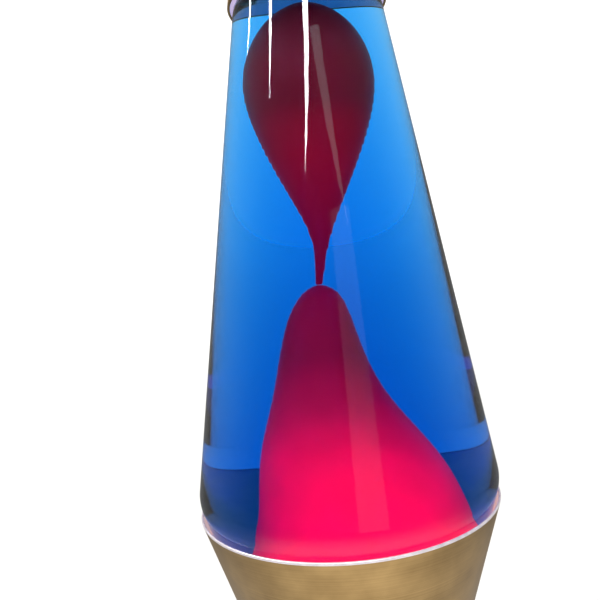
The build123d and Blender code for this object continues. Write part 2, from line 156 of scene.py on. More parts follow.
def add_ramp(tree: bpy.types.NodeTree, factor: bpy.types.NodeSocket, stops: list) -> bpy.types.NodeSocket:
    """Adds a colour ramp.

    Args:
        tree: the node tree it goes in.
        factor: what the ramp reads, from 0 to 1.
        stops: (place, linear colour) pairs in order.

    Returns:
        The ramp's colour output.
    """
    node = add_node(tree, "ShaderNodeValToRGB", {0: factor})
    elements = node.color_ramp.elements
    while len(elements) < len(stops):
        elements.new(0.5)
    for element, (place, colour) in zip(elements, stops):
        element.position = place
        element.color = colour
    return node.outputs["Color"]


# ---- finishes
@dataclass(frozen=True)
class Canvas:
    """What a finish is drawn on: one material's tree, shader, object coordinates and output."""

    tree: bpy.types.NodeTree
    shader: bpy.types.Node
    where: bpy.types.NodeSocket
    output: bpy.types.Node


@dataclass(frozen=True)
class Finish:
    """A finish, which is made into one material the first time that it is used."""

    name: str

    def material(self) -> bpy.types.Material:
        """The finish as a material, made once."""
        made = bpy.data.materials.get(self.name)
        if made is None:
            made = bpy.data.materials.new(self.name)
            made.use_nodes = True
            tree = made.node_tree
            tree.nodes.clear()
            where = add_node(tree, "ShaderNodeTexCoord").outputs["Object"]
            shader = add_node(tree, "ShaderNodeBsdfPrincipled")
            output = add_node(tree, "ShaderNodeOutputMaterial", {"Surface": shader.outputs[0]})
            self.dress(Canvas(tree, shader, where, output))
        return made

    def dress(self, on: Canvas) -> None:
        """Sets the shader up for this finish.

        Args:
            on: the material's nodes.
        """
        raise NotImplementedError


@dataclass(frozen=True)
class SpunMetal(Finish):
    """Anodised aluminium spun on a lathe: fine rings run round it and stretch each highlight sideways."""

    light: str
    dark: str
    roughness: float
    ring_mm: float = 0.45
    ring_depth_mm: float = 0.0025
    blotch_mm: float = 9.0
    blotch_share: float = 0.65
    anisotropy: float = 0.55

    def dress(self, on: Canvas) -> None:
        """Rings of turning marks by level, and a slow change of tone in the dye.

        Args:
            on: the material's nodes.
        """
        depth = add_node(on.tree, "ShaderNodeSeparateXYZ", {0: on.where}).outputs["Z"]
        rings = add_node(
            on.tree,
            "ShaderNodeTexNoise",
            {"W": depth, "Scale": 1 / (self.ring_mm * MM), "Detail": 3.0, "Roughness": 0.6},
            noise_dimensions="1D",
        ).outputs[0]
        blotch = add_node(
            on.tree,
            "ShaderNodeTexNoise",
            {"Vector": on.where, "Scale": 1 / (self.blotch_mm * MM), "Detail": 3.0},
        ).outputs[0]
        tone = add_node(
            on.tree, "ShaderNodeMix", {0: self.blotch_share, 2: rings, 3: blotch}, data_type="FLOAT"
        ).outputs[0]
        colour = add_ramp(on.tree, tone, [(0.3, linear(self.dark)), (0.7, linear(self.light))])
        rough = add_node(
            on.tree,
            "ShaderNodeMapRange",
            {0: rings, 3: self.roughness * 0.85, 4: self.roughness * 1.2},
        ).outputs[0]
        bump = add_node(
            on.tree,
            "ShaderNodeBump",
            {"Height": rings, "Distance": self.ring_depth_mm * MM, "Strength": 0.6},
        ).outputs[0]
        tangent = add_node(on.tree, "ShaderNodeTangent", direction_type="RADIAL", axis="Z").outputs[0]
        looks = {
            "Metallic": 1.0,
            "Anisotropic": self.anisotropy,
            "Base Color": colour,
            "Roughness": rough,
            "Normal": bump,
            "Tangent": tangent,
        }
        feed(on.tree, on.shader, looks)


@dataclass(frozen=True)
class WorkedMetal(Finish):
    """Pressed, drawn or plated metal: even gloss, broken by faint handling marks that dull it in patches."""

    light: str
    dark: str
    roughness: float
    mark_mm: float = 2.0
    grain_mm: float = 0.3
    grain_depth_mm: float = 0.004
    metallic: float = 1.0

    def dress(self, on: Canvas) -> None:
        """Patches of tone and gloss, with a fine grain as bump.

        Args:
            on: the material's nodes.
        """
        marks = add_node(
            on.tree,
            "ShaderNodeTexNoise",
            {"Vector": on.where, "Scale": 1 / (self.mark_mm * MM), "Detail": 4.0},
        ).outputs[0]
        grain = add_node(
            on.tree,
            "ShaderNodeTexNoise",
            {"Vector": on.where, "Scale": 1 / (self.grain_mm * MM), "Detail": 2.0},
        ).outputs[0]
        colour = add_ramp(on.tree, marks, [(0.35, linear(self.dark)), (0.65, linear(self.light))])
        rough = add_node(
            on.tree,
            "ShaderNodeMapRange",
            {0: marks, 3: self.roughness * 0.75, 4: self.roughness * 1.3},
        ).outputs[0]
        bump = add_node(
            on.tree,
            "ShaderNodeBump",
            {"Height": grain, "Distance": self.grain_depth_mm * MM, "Strength": 0.5},
        ).outputs[0]
        looks = {
            "Metallic": self.metallic,
            "Base Color": colour,
            "Roughness": rough,
            "Normal": bump,
        }
        feed(on.tree, on.shader, looks)


@dataclass(frozen=True)
class BulbLitMetal(WorkedMetal):
    """Bare metal that the bulb's light reaches, shown as a painted glow: it glows a little, and is dark above
    a given level.
    """

    bulb_tone: str = "#ffeed2"
    glow: float = 0.36
    dark_mm: float = 158.0
    fade_mm: float = 0.3

    def dress(self, on: Canvas) -> None:
        """Worked metal, with a painted glow that stands for the bulb's light and fades at its upper level.

        Args:
            on: the material's nodes.
        """
        super().dress(on)
        height = add_node(on.tree, "ShaderNodeSeparateXYZ", {0: on.where}).outputs["Z"]
        bottom = (self.dark_mm - self.fade_mm) * MM
        glow = add_node(
            on.tree,
            "ShaderNodeMapRange",
            {0: height, 1: bottom, 2: self.dark_mm * MM, 3: self.glow, 4: 0.0},
        ).outputs[0]
        # Painted light: an emission on the bare metal that stands for the bulb's light.
        feed(on.tree, on.shader, {"Emission Color": linear(self.bulb_tone), "Emission Strength": glow})


@dataclass(frozen=True)
class MouldedPolymer(Finish):
    """Moulded rubber, phenolic or gasket sheet: a fine mould grain, with dust that lightens it in patches."""

    light: str
    dark: str
    roughness: float
    ior: float = 1.5
    patch_mm: float = 4.0
    grain_mm: float = 0.35
    grain_depth_mm: float = 0.02

    def dress(self, on: Canvas) -> None:
        """Patches of tone, and the grain of the mould as bump.

        Args:
            on: the material's nodes.
        """
        patch = add_node(
            on.tree,
            "ShaderNodeTexNoise",
            {"Vector": on.where, "Scale": 1 / (self.patch_mm * MM), "Detail": 4.0},
        ).outputs[0]
        grain = add_node(
            on.tree,
            "ShaderNodeTexNoise",
            {"Vector": on.where, "Scale": 1 / (self.grain_mm * MM), "Detail": 2.0},
        ).outputs[0]
        colour = add_ramp(on.tree, patch, [(0.35, linear(self.dark)), (0.7, linear(self.light))])
        bump = add_node(
            on.tree,
            "ShaderNodeBump",
            {"Height": grain, "Distance": self.grain_depth_mm * MM, "Strength": 0.6},
        ).outputs[0]
        looks = {
            "Roughness": self.roughness,
            "IOR": self.ior,
            "Base Color": colour,
            "Normal": bump,
        }
        feed(on.tree, on.shader, looks)


@dataclass(frozen=True)
class BlownGlass(Finish):
    """Clear soda-lime glass from a mould: the faint upright drawing lines make long reflections waver."""

    tint: str = "#ffffff"
    reflection: str = "#ffffff"
    ior: float = 1.5
    line_mm: float = 5.0
    line_length: float = 14.0
    line_depth_mm: float = 0.012

    def dress(self, on: Canvas) -> None:
        """Clear transmission, with the drawing lines as a shallow bump.

        Args:
            on: the material's nodes.
        """
        drawn = add_node(
            on.tree, "ShaderNodeMapping", {"Vector": on.where, "Scale": (1.0, 1.0, 1 / self.line_length)}
        ).outputs[0]
        lines = add_node(
            on.tree,
            "ShaderNodeTexNoise",
            {"Vector": drawn, "Scale": 1 / (self.line_mm * MM), "Detail": 1.0},
        ).outputs[0]
        bump = add_node(
            on.tree,
            "ShaderNodeBump",
            {"Height": lines, "Distance": self.line_depth_mm * MM, "Strength": 0.5},
        ).outputs[0]
        looks = {
            "Base Color": linear(self.tint),
            "Transmission Weight": 1.0,
            "Roughness": 0.0,
            "IOR": self.ior,
            "Specular Tint": linear(self.reflection),
            "Normal": bump,
        }
        feed(on.tree, on.shader, looks)


@dataclass(frozen=True)
class DyedFluid(Finish):
    """Clear dyed fluid: it takes red first, then green, so it is pale where thin and deep where thick."""

    ior: float = 1.35
    reflection: str = "#101010"
    loss_per_metre: float = 100.0
    kept: tuple[float, float, float] = (0.0, 0.67, 0.92)

    def dress(self, on: Canvas) -> None:
        """A clear surface over a volume that absorbs.

        Args:
            on: the material's nodes.
        """
        looks = {
            "Base Color": (1.0, 1.0, 1.0, 1.0),
            "Transmission Weight": 1.0,
            "Roughness": 0.0,
            "IOR": self.ior,
            "Specular Tint": linear(self.reflection),
        }
        feed(on.tree, on.shader, looks)
        volume = add_node(
            on.tree,
            "ShaderNodeVolumeAbsorption",
            {"Color": (*self.kept, 1.0), "Density": self.loss_per_metre},
        )
        on.tree.links.new(volume.outputs[0], on.output.inputs["Volume"])


@dataclass(frozen=True)
class PaintedGlowWax(Finish):
    """Dyed paraffin wax, warmed from below, with a painted glow that stands for the bulb's light: bright near
    the bulb, it falls to dull red as it rises.
    """

    colour: str
    glow: str
    low_mm: float
    high_mm: float
    glow_stops: tuple[tuple[float, float], ...]
    cloud_mm: float = 9.0
    cloud_low: float = 0.8
    cloud_high: float = 1.2
    roughness: float = 0.45
    ior: float = 1.43
    gloss: float = 0.1

    def dress(self, on: Canvas) -> None:
        """Waxy red, with a painted glow that fades by level and has soft clouds in it.

        The glow is stronger than the wax's own light because it stands for the bulb's light, which
        comes through the wax and is then dimmed by the fluid in front.

        Args:
            on: the material's nodes.
        """
        height = add_node(on.tree, "ShaderNodeSeparateXYZ", {0: on.where}).outputs["Z"]
        rise = add_node(
            on.tree, "ShaderNodeMapRange", {0: height, 1: self.low_mm * MM, 2: self.high_mm * MM}
        ).outputs[0]
        peak = max(strength for _, strength in self.glow_stops)
        fade = add_ramp(
            on.tree, rise, [(place, (s / peak, s / peak, s / peak, 1.0)) for place, s in self.glow_stops]
        )
        cloud = add_node(
            on.tree,
            "ShaderNodeTexNoise",
            {"Vector": on.where, "Scale": 1 / (self.cloud_mm * MM), "Detail": 2.0},
        ).outputs[0]
        strength = add_node(
            on.tree, "ShaderNodeMapRange", {0: cloud, 3: peak * self.cloud_low, 4: peak * self.cloud_high}
        ).outputs[0]
        # Painted light: the glow stands for the bulb's light, set by level and broken by soft clouds.
        glow = add_node(on.tree, "ShaderNodeMath", {0: fade, 1: strength}, operation="MULTIPLY").outputs[0]
        looks = {
            "Base Color": linear(self.colour),
            "Roughness": self.roughness,
            "IOR": self.ior,
            "Specular IOR Level": self.gloss,
            "Emission Color": linear(self.glow),
            "Emission Strength": glow,
        }
        feed(on.tree, on.shader, looks)


@dataclass(frozen=True)
class StudioFloor(Finish):
    """Matt pale board for the lamp to stand on, with painted shade: a little darker near the lamp and lighter
    far off.
    """

    near: str
    far: str
    near_m: float = 0.4
    far_m: float = 2.5
    roughness: float = 0.9

    def dress(self, on: Canvas) -> None:
        """A matt tone that changes slowly with distance, as painted shade.

        Args:
            on: the material's nodes.
        """
        distance = add_node(
            on.tree, "ShaderNodeVectorMath", {0: on.where}, operation="LENGTH"
        ).outputs["Value"]
        share = add_node(
            on.tree,
            "ShaderNodeMapRange",
            {0: distance, 1: self.near_m, 2: self.far_m},
            interpolation_type="SMOOTHSTEP",
        ).outputs[0]
        # Painted shade: darker near the lamp, lighter far off.
        colour = add_ramp(on.tree, share, [(0.0, linear(self.near)), (1.0, linear(self.far))])
        feed(on.tree, on.shader, {"Roughness": self.roughness, "Base Color": colour})


@dataclass(frozen=True)
class LitTube(Finish):
    """A lit ceiling tube, seen only as a reflection."""

    strength: float

    def dress(self, on: Canvas) -> None:
        """Plain white emission.

        Args:
            on: the material's nodes.
        """
        looks = {
            "Base Color": (0.0, 0.0, 0.0, 1.0),
            "Emission Color": (1.0, 1.0, 1.0, 1.0),
            "Emission Strength": self.strength,
        }
        feed(on.tree, on.shader, looks)


GOLD = SpunMetal("gold_anodised_spun_aluminium", "#bd9c68", "#977a4e", 0.34)
# The cup's bare inside carries a painted glow that stands for the bulb's light.
BARE_INSIDE = BulbLitMetal("bare_aluminium_inside_with_painted_glow", "#dfe0e2", "#c6c8cb", 0.5, mark_mm=5.0)
# The bottle throws the bulb's light up into the cap. The bare metal's lavender tint and its glow here are
# painted light that stands for it, so the cap's bare inside is never dark.
CAP_INSIDE = BulbLitMetal(
    "bare_aluminium_in_cap_with_painted_light",
    "#d9d6e4",
    "#bdb9cb",
    0.5,
    mark_mm=5.0,
    bulb_tone="#f0dcff",
    glow=0.42,
    dark_mm=400.0,
)
# The rim's bright line is a painted highlight: a pale, half-metallic band.
PAINTED_HIGHLIGHT_LIP = WorkedMetal("pale_rim_lip_painted_highlight", "#e2dadf", "#cfc6cc", 0.35, metallic=0.3)
# The glass reflects a dim room, and less where fluid wets it.
GLASS = BlownGlass("clear_soda_glass", reflection="#a8a8a8")
INNER_GLASS = BlownGlass("clear_soda_glass_wetted", reflection="#101010", line_depth_mm=0.0)
BULB_GLASS = BlownGlass("thin_bulb_glass", line_depth_mm=0.005)
FLUID = DyedFluid("blue_dyed_fluid")
PLATED_STEEL = WorkedMetal("nickel_plated_steel", "#d6d4ce", "#b9b6ae", 0.22)
ZINC_STEEL = WorkedMetal("zinc_plated_steel", "#c3c7cb", "#9ea3a9", 0.38, mark_mm=3.5)
SPRING_STEEL = WorkedMetal("drawn_spring_steel", "#a9a9ab", "#858589", 0.3)
RIVET_METAL = WorkedMetal("headed_aluminium_rivet", "#c8c9cc", "#a7a9ad", 0.33)
BRASS = WorkedMetal("drawn_brass", "#dcb765", "#b48d42", 0.28)
SOLDER = WorkedMetal("tin_solder", "#bfc0c2", "#97999c", 0.4, mark_mm=0.8)
TUNGSTEN = WorkedMetal("drawn_tungsten", "#7d7d80", "#5b5b5f", 0.45)
BLACK_STEEL = MouldedPolymer("black_stoved_enamel_on_steel", "#1f1f20", "#131314", 0.42)
RUBBER = MouldedPolymer("black_moulded_rubber", "#2b2a29", "#171717", 0.75, ior=1.52)
PHENOLIC = MouldedPolymer("brown_moulded_phenolic", "#3a2c25", "#231a16", 0.35, ior=1.6)
BLACK_GLASS = MouldedPolymer("black_pressed_glass", "#161616", "#0c0c0c", 0.08, grain_depth_mm=0.0)
LINER = MouldedPolymer("pale_gasket_sheet", "#dedbd2", "#c8c4b8", 0.8)


# ---- mesh helpers
@dataclass(frozen=True)
class Corner:
    """A corner of a turned outline, in millimetres, with the radius that it is rounded to."""

    radius: float
    level: float
    round: float = 0.0
    steps: int = 5

    def vector(self) -> Vector:
        """The corner in the XZ plane, in millimetres."""
        return Vector((self.radius, 0.0, self.level))


def tangent_length(before: Corner, here: Corner, after: Corner) -> float:
    """How far from a corner its rounding starts, in millimetres."""
    turn = (here.vector() - before.vector()).angle(after.vector() - here.vector())
    return here.round * math.tan(turn / 2)


def spun(corners: list[Corner], closed: bool = False, steps: int = 160) -> bmesh.types.BMesh:
    """Turns an outline about the Z axis into a closed shape.

    Args:
        corners: the outline, whose ends are on the axis unless it is closed.
        closed: True for an outline that joins up with itself.
        steps: how many faces go round.

    Returns:
        The shape, in metres, with its faces outward.
    """
    shape = bmesh.new()
    verts = [shape.verts.new(corner.vector() * MM) for corner in corners]
    following = verts[1:] + (verts[:1] if closed else [])
    for here, after in zip(verts, following):
        shape.edges.new((here, after))
    last = len(corners) - 1
    for index, (vert, corner) in enumerate(zip(verts, corners)):
        if corner.round and (closed or 0 < index < last):
            before, after = corners[index - 1], corners[(index + 1) % len(corners)]
            bmesh.ops.bevel(
                shape,
                geom=[vert],
                offset=tangent_length(before, corner, after) * MM,
                offset_type="OFFSET",
                segments=corner.steps,
                profile=0.5,
                affect="VERTICES",
                material=-1,
                clamp_overlap=False,
            )
    bmesh.ops.spin(
        shape,
        geom=list(shape.verts) + list(shape.edges),
        cent=(0, 0, 0),
        axis=(0, 0, 1),
        dvec=(0, 0, 0),
        angle=2 * math.pi,
        steps=steps,
        use_merge=True,
    )
    bmesh.ops.remove_doubles(shape, verts=list(shape.verts), dist=DOUBLES)
    bmesh.ops.recalc_face_normals(shape, faces=list(shape.faces))
    return shape


def inset(corners: list[Corner], gap: float, rounds: list[float]) -> list[Corner]:
    """An open outline moved inwards by the same distance all along.

    Args:
        corners: the outline, which starts on the axis at the bottom.
        gap: how far it moves, in millimetres.
        rounds: the new radius of each corner.

    Returns:
        The moved outline.
    """
    lines = []
    for here, after in zip(corners, corners[1:]):
        along = (after.vector() - here.vector()).normalized()
        side = Vector((-along.z, 0.0, along.x)) * gap
        lines.append((here.vector() + side, along))
    moved = [lines[0][0]]
    for (start, along), (other, across) in zip(lines, lines[1:]):
        turn = along.x * across.z - along.z * across.x
        apart = other - start
        moved.append(start + along * ((apart.x * across.z - apart.z * across.x) / turn))
    end = corners[-1].vector() + Vector((-lines[-1][1].z, 0.0, lines[-1][1].x)) * gap
    moved.append(end)
    return [Corner(point.x, point.z, size) for point, size in zip(moved, rounds)]


def settle(shape: bmesh.types.BMesh) -> None:
    """Sorts a shape's parts by place, because the operators leave them in an order that varies.

    Args:
        shape: the shape, whose vertices, edges and faces are sorted.
    """
    for items, place in (
        (shape.verts, lambda vert: tuple(vert.co)),
        (shape.edges, lambda edge: sorted(vert.index for vert in edge.verts)),
        (shape.faces, lambda face: sorted(vert.index for vert in face.verts)),
    ):
        for index, item in enumerate(sorted(items, key=place)):
            item.index = index
        items.sort()


def make_piece(
    shape: bmesh.types.BMesh,
    name: str,
    body: Body,
    finishes: list[Finish],
    nodes: tuple[str, ...],
    sharp_deg: float = 35.0,
) -> bpy.types.Object:
    """Turns a shape into a piece that stands for CAD nodes.

    Args:
        shape: the finished shape, in place, which is freed.
        name: the piece's name.
        body: the body that it rides on.
        finishes: its finishes, by the material index of its faces.
        nodes: the CAD nodes that it stands for.
        sharp_deg: edges that turn by more than this stay sharp.

    Returns:
        The piece.
    """
    settle(shape)
    mesh = bpy.data.meshes.new(name)
    shape.to_mesh(mesh)
    shape.free()
    mesh.shade_smooth()
    mesh.set_sharp_from_angle(angle=math.radians(sharp_deg))
    for finish in finishes:
        mesh.materials.append(finish.material())
    piece = bpy.data.objects.new(name, mesh)
    bpy.context.scene.collection.objects.link(piece)
    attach(piece, body.value)
    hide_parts(*nodes)
    LOG.info("%s: %d faces on %s", name, len(mesh.polygons), body.value)
    return piece


def smoothed(piece: bpy.types.Object, levels: int) -> None:
    """Finishes a piece with a subdivision surface.

    Args:
        piece: the piece.
        levels: how often it is divided.
    """
    modifier = piece.modifiers.new("smooth", "SUBSURF")
    modifier.levels = levels
    modifier.render_levels = levels


def dress_node(frame: dict, node: str, finish: Finish) -> None:
    """Gives a CAD node, whose shape stays, its finish.

    Args:
        frame: the loaded frame.
        node: the node's name.
        finish: its finish.
    """
    materials = frame["nodes"][node].data.materials
    materials.clear()
    materials.append(finish.material())
    LOG.info("%s: %s", node, finish.name)


# ---- sub-assemblies
@dataclass
class Bottle:
    """The glass bottle, its fluid and its closure."""

    wall: float = 3.0
    heel_radius: float = 30.04
    equator_radius: float = 45.194
    equator_rise: float = 5.05
    shoulder_radius: float = 21.9
    shoulder_rise: float = 1.6
    shoulder_drop: float = 6.0
    neck_radius: float = 12.7
    finish_radius: float = 13.3
    finish_height: float = 8.0
    ring_radius: float = 14.2
    ring_height: float = 3.0
    ring_drop: float = 16.0
    heel_round: float = 4.0
    equator_round: float = 10.0
    shoulder_round: float = 7.0
    neck_round: float = 5.0
    ring_round: float = 0.6
    bead_round: float = 0.4
    lip_round: float = 0.8
    film: float = 0.1
    meniscus: float = 0.8
    meniscus_round: float = 0.5
    crimp_radius: float = 13.9
    crimp_metal: float = 0.4
    flare_height: float = 4.0
    crimp_round: float = 0.8
    flutes: int = 21
    flute_steps: int = 10
    flute_depth: float = 0.45

    def __post_init__(self) -> None:
        """Reads the levels from the frame."""
        self.floor = level("globe_bottle", Side.LOW)
        self.top = level("globe_bottle", Side.HIGH)
        self.rim = level("base_cup", Side.HIGH)
        self.cap_lip = level("cap", Side.LOW)

    def body_outline(self) -> list[Corner]:
        """The outer outline from the middle of the floor to the top of the neck."""
        shoulder = self.cap_lip + self.shoulder_rise
        return [
            Corner(0, self.floor),
            Corner(self.heel_radius, self.floor, self.heel_round),
            Corner(self.equator_radius, self.rim + self.equator_rise, self.equator_round, 10),
            Corner(self.shoulder_radius, shoulder, self.shoulder_round),
            Corner(self.neck_radius, shoulder + self.shoulder_drop, self.neck_round),
            Corner(self.neck_radius, self.top),
        ]

    def inner_outline(self, gap: float) -> list[Corner]:
        """The outline that lies gap inside the outer one."""
        tight = [size - self.wall for size in (self.heel_round, self.equator_round, self.shoulder_round)]
        return inset(self.body_outline(), gap, [0, *tight, self.neck_round + self.wall, 0])

    def inner_radius(self, height: float) -> float:
        """The radius of the glass's inner surface at a level.

        Args:
            height: the level, in millimetres.

        Returns:
            The radius, in millimetres.
        """
        corners = self.inner_outline(self.wall)[1:]
        for low, high in zip(corners, corners[1:]):
            if low.level <= height <= high.level:
                share = (height - low.level) / (high.level - low.level)
                return low.radius + share * (high.radius - low.radius)
        return corners[0].radius

    def finish_outline(self) -> list[Corner]:
        """The neck above its root: the transfer ring and the bead that the closure grips."""
        ring = self.top - self.ring_drop
        bead = self.top - self.finish_height
        slope = self.ring_radius - self.neck_radius
        step = self.finish_radius - self.neck_radius
        return [
            Corner(self.neck_radius, ring, self.ring_round),
            Corner(self.ring_radius, ring + slope / 2, self.ring_round),
            Corner(self.ring_radius, ring + self.ring_height - slope / 2, self.ring_round),
            Corner(self.neck_radius, ring + self.ring_height, self.ring_round),
            Corner(self.neck_radius, bead - step, self.bead_round),
            Corner(self.finish_radius, bead, self.bead_round),
            Corner(self.finish_radius, self.top, self.lip_round),
        ]

    def build_glass(self) -> None:
        """The bottle as one thick shell, whose inner faces have a finish of their own."""
        inner = self.inner_outline(self.wall)
        mouth = Corner(inner[-1].radius, self.top, self.lip_round)
        outline = [*self.body_outline()[:-1], *self.finish_outline(), mouth, *reversed(inner[:-1])]
        shape = spun(outline)
        for face in shape.faces:
            middle = face.calc_center_median()
            face.material_index = int(face.normal.dot(Vector((middle.x, middle.y, 0))) < 0)
            if middle.xy.length < self.heel_radius * MM and abs(face.normal.z) > 0.9:
                face.material_index = int(face.normal.z > 0)
        make_piece(
            shape, "bottle_glass_shell", Body.GLOBE, [GLASS, INNER_GLASS], ("globe_bottle",)
        )

    def build_fluid(self) -> None:
        """The fluid, which reaches a hair into the glass so that no air shows between the two."""
        fill = level("fluid", Side.HIGH)
        inner = self.inner_outline(self.wall - self.film)
        edge = inner[-1].radius
        level_part = fill - self.meniscus / 2
        surface = [
            Corner(edge, fill),
            Corner(edge - self.meniscus, level_part, self.meniscus_round),
            Corner(0, level_part),
        ]
        make_piece(
            spun([*inner[:-1], *surface]), "blue_fluid_body", Body.GLOBE, [FLUID], ("fluid",)
        )

    def build_closure(self) -> None:
        """The crimped closure, whose skirt is fluted all round."""
        low, high = level("bottle_closure", Side.LOW), level("bottle_closure", Side.HIGH)
        skirt = reach("bottle_closure")
        crimp, metal = self.crimp_radius, self.crimp_metal
        flare = low + self.flare_height
        outline = [
            Corner(0, high),
            Corner(crimp, high, self.crimp_round + metal),
            Corner(crimp, flare, 1.0),
            Corner(skirt, low),
            Corner(skirt - metal, low),
            Corner(crimp - metal, flare, self.crimp_round),
            Corner(crimp - metal, high - metal, self.crimp_round),
            Corner(0, high - metal),
        ]
        shape = spun(outline, steps=self.flutes * self.flute_steps)
        for vert in shape.verts:
            share = max(0.0, min(1.0, (flare - vert.co.z / MM) / (flare - low)))
            angle = math.atan2(vert.co.y, vert.co.x)
            pinch = self.flute_depth * MM * share * (1 - math.cos(self.flutes * angle)) / 2
            outward = Vector((vert.co.x, vert.co.y, 0))
            if outward.length > 0:
                vert.co -= outward.normalized() * pinch
        make_piece(
            shape, "fluted_bottle_closure", Body.GLOBE, [PLATED_STEEL], ("bottle_closure",)
        )

    def build(self, frame: dict) -> None:
        """Builds every part of the bottle.

        Args:
            frame: the loaded frame.
        """
        self.build_glass()
        self.build_fluid()
        self.build_closure()
        dress_node(frame, "closure_liner", LINER)


@dataclass
class Wax:
    """The two masses of wax and the coil that warms the lower one."""

    bottle: Bottle
    around: int = 40
    wire_radius: float = 0.8
    coil_radius: float = 20.0
    coil_pitch: float = 2.4
    coil_turns: int = 3
    coil_steps: int = 64
    wire_sides: int = 12
    # Each section: share of the way from rim to cap lip, share of the glass's inner radius, lean to +X
    drop: tuple[tuple[float, float, float], ...] = (
        (0.981, 0.05, -1.0),
        (0.970, 0.26, -1.0),
        (0.945, 0.45, -1.0),
        (0.900, 0.60, -1.0),
        (0.826, 0.64, -1.0),
        (0.735, 0.50, -1.0),
        (0.650, 0.32, -1.1),
        (0.571, 0.15, -1.1),
        (0.530, 0.08, -1.2),
        (0.490, 0.04, -1.7),
        (0.434, 0.027, -2.6),
        (0.428, 0.026, -2.7),
    )
    # The same, where a share below zero is of the way from the rim down to the bottle's floor
    mound: tuple[tuple[float, float, float], ...] = (
        (0.428, 0.030, -2.7),
        (0.418, 0.10, -2.7),
        (0.404, 0.15, -2.8),
        (0.365, 0.215, -3.4),
        (0.284, 0.27, -3.6),
        (0.203, 0.336, -2.7),
        (0.119, 0.455, -0.8),
        (0.038, 0.52, 1.6),
        (-0.20, 0.62, 2.9),
        (-0.42, 0.80, 1.5),
        (-0.60, 0.93, 0.0),
        (-0.75, 0.95, 0.0),
    )
    # Each stop of the painted glow that stands for the bulb's light: share of the way from the bottle's floor
    # to the cap lip, strength
    glow: tuple[tuple[float, float], ...] = (
        (0.0, 10.0),
        (0.23, 10.0),
        (0.31, 8.5),
        (0.39, 4.4),
        (0.46, 2.3),
        (0.55, 2.6),
        (0.60, 2.6),
        (0.69, 1.7),
        (0.83, 0.25),
        (1.0, 0.05),
    )
    floor_inset: float = 4.0
    rest_gap: float = 0.3

    def height(self, share: float) -> float:
        """The level of a section.

        Args:
            share: its share, as the sections give it.

        Returns:
            The level, in millimetres.
        """
        span = self.bottle.cap_lip - self.bottle.rim
        if share < 0:
            span = self.bottle.rim - self.bottle.floor - self.bottle.wall
        return self.bottle.rim + share * span

    def lofted(self, sections: list[tuple[float, float, float]]) -> bmesh.types.BMesh:
        """A closed skin through round sections, by extruding a ring from each to the next.

        Args:
            sections: (level, radius, lean) of each, in millimetres, from the top down.

        Returns:
            The shape, in metres.
        """
        shape = bmesh.new()
        start, radius, lean = sections[0]
        place = Matrix.Translation((lean * MM, 0, start * MM))
        bmesh.ops.create_circle(
            shape, cap_ends=True, segments=self.around, radius=radius * MM, matrix=place
        )
        ring = list(shape.edges)
        for here, after in zip(sections, sections[1:]):
            grown = bmesh.ops.extrude_edge_only(shape, edges=ring)["geom"]
            verts = [item for item in grown if isinstance(item, bmesh.types.BMVert)]
            ring = [item for item in grown if isinstance(item, bmesh.types.BMEdge)]
            centre = Vector((here[2], 0, here[0])) * MM
            bmesh.ops.scale(
                shape,
                vec=(after[1] / here[1], after[1] / here[1], 1),
                space=Matrix.Translation(-centre),
                verts=verts,
            )
            move = Vector((after[2] - here[2], 0, after[0] - here[0])) * MM
            bmesh.ops.translate(shape, vec=move, verts=verts)
        bmesh.ops.edgeloop_fill(shape, edges=ring)
        bmesh.ops.recalc_face_normals(shape, faces=list(shape.faces))
        return shape

    def sections(self, shares: tuple) -> list[tuple[float, float, float]]:
        """Turns shares into sizes.

        Args:
            shares: the sections as shares.

        Returns:
            The level, radius and lean of each, in millimetres.
        """
        made = []
        for share, wide, lean in shares:
            height = self.height(share)
            made.append((height, wide * self.bottle.inner_radius(height), lean))
        return made

    def build_wax(self) -> None:
        """The risen drop with its thread, and the mound that it has left."""
        low, high = self.bottle.floor, self.bottle.cap_lip
        # The wax's glow is painted light that stands for the bulb's light.
        wax = PaintedGlowWax("red_dyed_paraffin_wax_with_painted_glow", "#8a1a2a", "#ff001c", low, high, self.glow)
        for name, shares, node in (
            ("risen_wax_drop", self.drop, "wax_drop"),
            ("wax_mound", self.mound, "wax_pool"),
        ):
            sections = self.sections(shares)
            if node == "wax_pool":
                floor = self.bottle.floor + self.bottle.wall + self.rest_gap
                radius = self.bottle.inner_radius(floor) - self.floor_inset
                sections.append((floor, radius, 0.0))
            piece = make_piece(
                self.lofted(sections), name, Body.GLOBE, [wax], (node,), sharp_deg=180
            )
            smoothed(piece, 2)

    def build_coil(self) -> None:
        """The warming coil, a ring of wire wound three times round."""
        start = level("warming_coil", Side.LOW) + self.wire_radius
        shape = bmesh.new()
        upright = Matrix.Rotation(math.pi / 2, 4, "X")
        place = Matrix.Translation((self.coil_radius * MM, 0, start * MM)) @ upright
        bmesh.ops.create_circle(
            shape, cap_ends=True, segments=self.wire_sides, radius=self.wire_radius * MM, matrix=place
        )
        steps = self.coil_steps * self.coil_turns
        bmesh.ops.spin(
            shape,
            geom=list(shape.faces),
            cent=(0, 0, 0),
            axis=(0, 0, 1),
            dvec=(0, 0, self.coil_pitch * self.coil_turns * MM / steps),
            angle=2 * math.pi * self.coil_turns,
            steps=steps,
            use_duplicate=False,
        )
        bmesh.ops.recalc_face_normals(shape, faces=list(shape.faces))
        make_piece(shape, "wound_warming_coil", Body.GLOBE, [SPRING_STEEL], ("warming_coil",))

    def build(self) -> None:
        """Builds the wax and its coil."""
        self.build_wax()
        self.build_coil()


